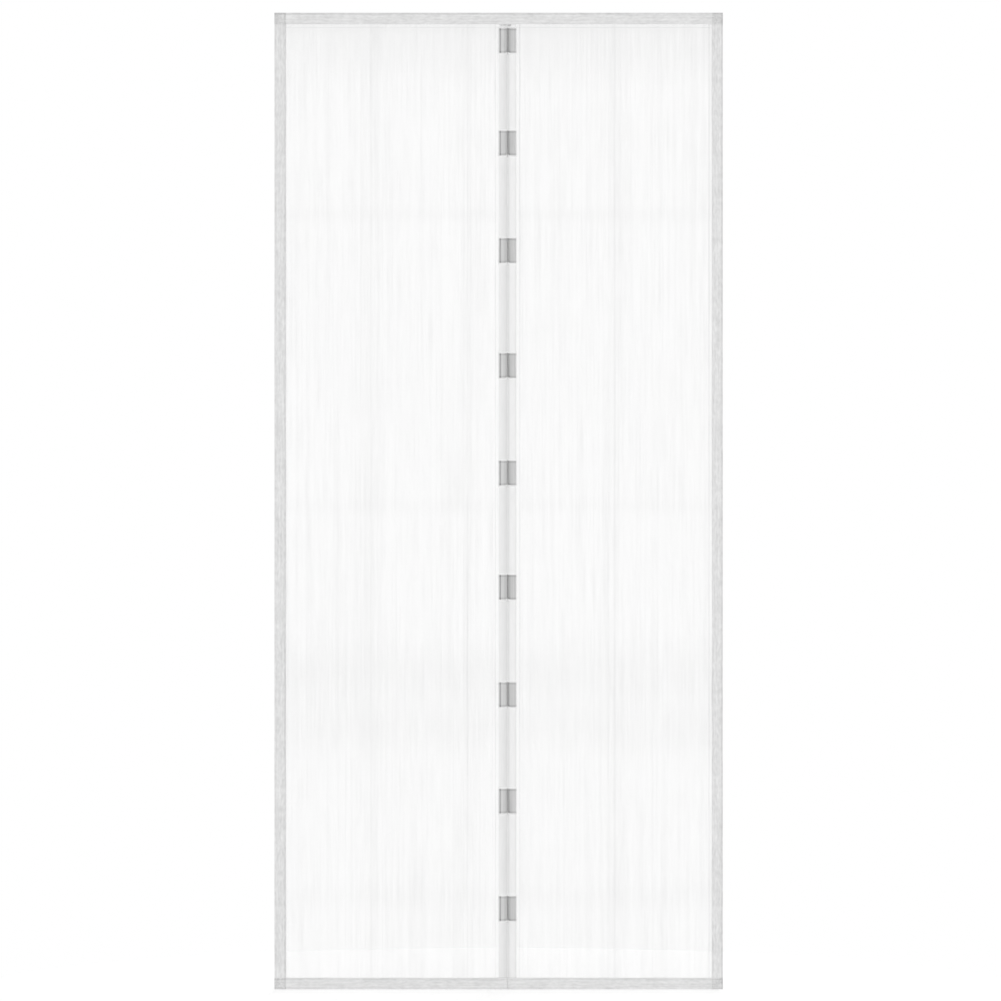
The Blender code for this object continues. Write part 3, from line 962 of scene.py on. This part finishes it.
class SCREEN_OT_finish_fittings(bpy.types.Operator):
    """Gives the magnets and the hook and loop strips their finish"""

    bl_idname = "insect_screen.finish_fittings"
    bl_label = "Finish Fittings"

    def execute(self, context):
        fitting = context.scene.screen_fitting
        finishes = {
            "magnet_left": magnet_material(fitting),
            "loop_strip": loop_material(fitting),
            "hook_strip": hook_material(fitting),
        }
        finishes["magnet_right"] = finishes["magnet_left"]
        for name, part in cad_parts.items():
            for start, material in finishes.items():
                if name.startswith(start):
                    part.data.materials.clear()
                    part.data.materials.append(material)
        return {"FINISHED"}


def add_stitch_row(form, start, end, across, sewing, surface=lambda x, z: 0.0):
    """A row of stitches from start to end, as deep as the surface at each. Their width lies across."""
    run = end - start
    count = max(2, int(run.length / sewing.pitch))
    step = run / count
    along, half = run.normalized(), sewing.thread / 2
    axes = Matrix((along * sewing.length / 2, across * half, along.cross(across) * half)).transposed()
    made = bmesh.ops.create_icosphere(
        form, subdivisions=1, radius=1.0, matrix=Matrix.Translation(start + step / 2) @ axes.to_4x4(),
    )["verts"]
    for vertex in corners(repeat(form, whole_part(made), step, count)):
        vertex.co.y += surface(vertex.co.x, vertex.co.z)


def add_upright_row(form, x, y, sewing):
    """A row of stitches from the top tape down to the hem."""
    top, bottom = Vector((x, y, TOP - TAPE_WIDTH)), Vector((x, y, BOTTOM + TAPE_WIDTH))
    add_stitch_row(form, top, bottom, WIDE, sewing)


def tape_rows(sewing, hem=False):
    """A tape's rows, as (distance in, -1 in front or 1 behind). Only a hem has the outer one behind."""
    inner, outer = TAPE_WIDTH - sewing.from_edge, OUTER_ROW
    return [(inner, -1), (inner, 1), (outer, -1)] + ([(outer, 1)] if hem else [])


def side_stitches(side, sewing, tape):
    """The rows along a side tape."""
    form = bmesh.new()
    edge, width = tape_side(side, tape)
    for inwards, facing in tape_rows(sewing):
        x, y = edge - SIDES[side] * inwards * width, NET_Y + facing * (CLOSE_HALF + TAPE_WALL / 2)
        add_upright_row(form, x, y, sewing)
    return form


def level_stitches(left, right, outer, up, sewing, tape, net):
    """The rows along the top tape or, with up 1, a hem, laid over its steps."""
    form = bmesh.new()
    for inwards, facing in tape_rows(sewing, hem=up > 0):
        start, end = (
            Vector((x, NET_Y, outer + up * inwards)) for x in (left + ROW_END, right - ROW_END)
        )
        add_stitch_row(
            form, start, end, UPRIGHT, sewing,
            lambda x, z: facing * (level_layers(x, tape, net)[facing > 0] + TAPE_WALL / 2),
        )
    return form


def add_tacks(form, sewing, ribbon):
    """The tacks at the top of the seam: short upright rows, a thread apart."""
    tacks = [(sign, ends) for side, sign in SIDES.items() for ends in TACKS[side]]
    for sign, ends in tacks:
        for u in even_steps(*ends, sewing.thread):
            x, y = SEAM_X + sign * u, NET_Y - RIBBON_HALF - TAPE_WALL
            start, end = (Vector((x, y, TOP - TAPE_WIDTH - drop)) for drop in TACK_DROPS)
            add_stitch_row(
                form, start, end, WIDE, sewing,
                lambda x, z: -ribbon_rise(abs(x - SEAM_X), 0.0, free_share(z), ribbon),
            )


def ribbon_stitches(side, sewing, net, ribbon):
    """The rows along a ribbon's two edges, behind the outer one, and across it past each magnet's ends."""
    sign, form = SIDES[side], bmesh.new()
    inner, outer, front = RIBBON_IN, RIBBON_OUT - ribbon.flange / 2, NET_Y - RIBBON_HALF - TAPE_WALL / 2
    for u, y in ((outer, front), (inner + SEAM_ROW, front), (outer, NET_Y + net.thread_radius)):
        add_upright_row(form, SEAM_X + sign * u, y, sewing)
    past = ribbon.end_room + ribbon.ramp
    crossings = [z for low, high in MAGNETS for z in (low.z - past, high.z + past)]
    for z in crossings:
        start, end = (
            Vector((SEAM_X + sign * u, front, z)) for u in (inner + CROSS_ROW, RIBBON_OUT - ribbon.flange)
        )
        add_stitch_row(
            form, start, end, UPRIGHT, sewing, lambda x, z: -ribbon_rise(abs(x - SEAM_X), 0.0, 1.0, ribbon),
        )
    return form


class SCREEN_OT_sew_seams(bpy.types.Operator):
    """Sews the rows of stitches that hold tapes, ribbons, pockets and loop strips"""

    bl_idname = "insect_screen.sew_seams"
    bl_label = "Sew Seams"

    def execute(self, context):
        sewing, tape = context.scene.screen_sewing, context.scene.screen_tape
        net, ribbon = context.scene.screen_net, context.scene.screen_ribbon
        tape_thread = thread_material("tape thread", sewing.brightness)
        ribbon_thread = thread_material("ribbon thread", sewing.ribbon_brightness)
        for side in SIDES:
            new_piece(f"side_stitches_{side}", side_stitches(side, sewing, tape), tape_thread, "tape")
        for name, left, right, outer, up in (
            ("top_stitches", LEFT, RIGHT, TOP, -1),
            ("hem_stitches_left", LEFT, SEAM_X - SEAM_GAP, BOTTOM, 1),
            ("hem_stitches_right", SEAM_X + SEAM_GAP, RIGHT, BOTTOM, 1),
        ):
            form = level_stitches(left, right, outer, up, sewing, tape, net)
            if name == "top_stitches":
                add_tacks(form, sewing, ribbon)
            new_piece(name, form, tape_thread, "tape")
        for side in SIDES:
            form = ribbon_stitches(side, sewing, net, ribbon)
            new_piece(f"ribbon_stitches_{side}", form, ribbon_thread, "ribbon")
        return {"FINISHED"}


def seen_share(tree):
    """1 for what the camera sees, also in a mirror or through glass, and 0 for what lights the rest."""
    rays = node(tree, "ShaderNodeLightPath").outputs
    return total(tree, *(rays[f"Is {kind} Ray"] for kind in ("Camera", "Glossy", "Transmission")))


def floor_material(stage):
    """White to the camera by a glow under the lit floor's own shade, so that a shadow still shows."""
    material, tree, shader = new_material("white floor", roughness=0.9)
    shader.inputs["Base Color"].default_value = (*[FLOOR_SHADE] * 3, 1.0)
    shader.inputs["Emission Color"].default_value = (1.0, 1.0, 1.0, 1.0)
    glow = times(tree, seen_share(tree), stage.floor_glow)
    tree.links.new(glow, shader.inputs["Emission Strength"])
    return material


def add_lamp(name, power, size, position, target):
    """A large soft lamp."""
    lamp = bpy.data.lights.new(name, "AREA")
    lamp.shape = "DISK"
    lamp.size = size
    lamp.energy = power
    holder = new_object(name, lamp)
    holder.location = position
    holder.rotation_euler = (target - position).to_track_quat("-Z", "Y").to_euler()


class SCREEN_OT_set_stage(bpy.types.Operator):
    """Sets the white floor and sky, the lamps and the camera"""

    bl_idname = "insect_screen.set_stage"
    bl_label = "Set Stage"

    def execute(self, context):
        stage = context.scene.screen_stage
        form = bmesh.new()
        bmesh.ops.create_circle(
            form, cap_ends=True, segments=FLOOR_SIDES, radius=stage.floor_size / 2,
            matrix=Matrix.Translation((0, 0, BOTTOM - stage.floor_clearance)),
        )
        floor = new_object("floor", new_mesh("floor", form, floor_material(stage)))

        world = bpy.data.worlds.new("white sky")
        world.use_nodes = True
        tree = world.node_tree
        tree.nodes.clear()
        strength = node(tree, "ShaderNodeMapRange", seen_share(tree), 0.0, 1.0, stage.sky, 1.0).outputs[0]
        sky = node(tree, "ShaderNodeBackground", (1.0, 1.0, 1.0, 1.0), strength).outputs[0]
        node(tree, "ShaderNodeOutputWorld", sky)
        context.scene.world = world

        centre = (CORNER_LOW + CORNER_HIGH) / 2
        for name, power, size, offset in LAMPS:
            add_lamp(name, getattr(stage, power), size, centre + Vector(offset), centre)

        camera = bpy.data.cameras.new("camera")
        camera.lens = stage.lens
        camera.clip_end = CLIP_END
        left, right, top, bottom = stage.outline
        pixel = (TOP - BOTTOM) / (bottom - top)
        away = stage.image_size * pixel * camera.lens / camera.sensor_width
        right_by, up_by = (stage.image_size - left - right) / 2, (top + bottom - stage.image_size) / 2
        holder = new_object("camera", camera)
        holder.location = (centre.x + right_by * pixel, NET_Y - away, centre.z + up_by * pixel)
        holder.rotation_euler = (math.pi / 2, 0, 0)
        context.scene.camera = holder
        context.scene.view_settings.view_transform = "Standard"
        return {"FINISHED"}


class SCREEN_PT_panel(bpy.types.Panel):
    """Lists the steps and their settings"""

    bl_idname = "SCREEN_PT_panel"
    bl_label = "Insect Screen"
    bl_space_type = "VIEW_3D"
    bl_region_type = "UI"
    bl_category = "Insect Screen"

    def draw(self, context):
        for step, name in STEPS:
            box = self.layout.box()
            box.operator(step.bl_idname)
            group = getattr(context.scene, name)
            for key in group.__annotations__:
                box.prop(group, key)


SETTINGS = {
    "screen_net": NetSettings,
    "screen_tape": TapeSettings,
    "screen_ribbon": RibbonSettings,
    "screen_sewing": SewingSettings,
    "screen_fitting": FittingSettings,
    "screen_stage": StageSettings,
}
STEPS = (
    (SCREEN_OT_set_stage, "screen_stage"),
    (SCREEN_OT_fold_tapes, "screen_tape"),
    (SCREEN_OT_weave_nets, "screen_net"),
    (SCREEN_OT_sew_ribbons, "screen_ribbon"),
    (SCREEN_OT_finish_fittings, "screen_fitting"),
    (SCREEN_OT_sew_seams, "screen_sewing"),
)


def register():
    """Adds the settings, the steps and their panel."""
    for name, settings in SETTINGS.items():
        bpy.utils.register_class(settings)
        setattr(bpy.types.Scene, name, PointerProperty(type=settings))
    for step, _ in STEPS:
        bpy.utils.register_class(step)
    bpy.utils.register_class(SCREEN_PT_panel)


def unregister():
    """Takes them away again."""
    bpy.utils.unregister_class(SCREEN_PT_panel)
    for step, _ in reversed(STEPS):
        bpy.utils.unregister_class(step)
    for name, settings in reversed(SETTINGS.items()):
        delattr(bpy.types.Scene, name)
        bpy.utils.unregister_class(settings)


def main():
    """Builds the screen step by step."""
    register()
    bpy.ops.insect_screen.set_stage()
    bpy.ops.insect_screen.fold_tapes()
    bpy.ops.insect_screen.weave_nets()
    bpy.ops.insect_screen.sew_ribbons()
    bpy.ops.insect_screen.finish_fittings()
    bpy.ops.insect_screen.sew_seams()


if __name__ == "__main__":
    main()
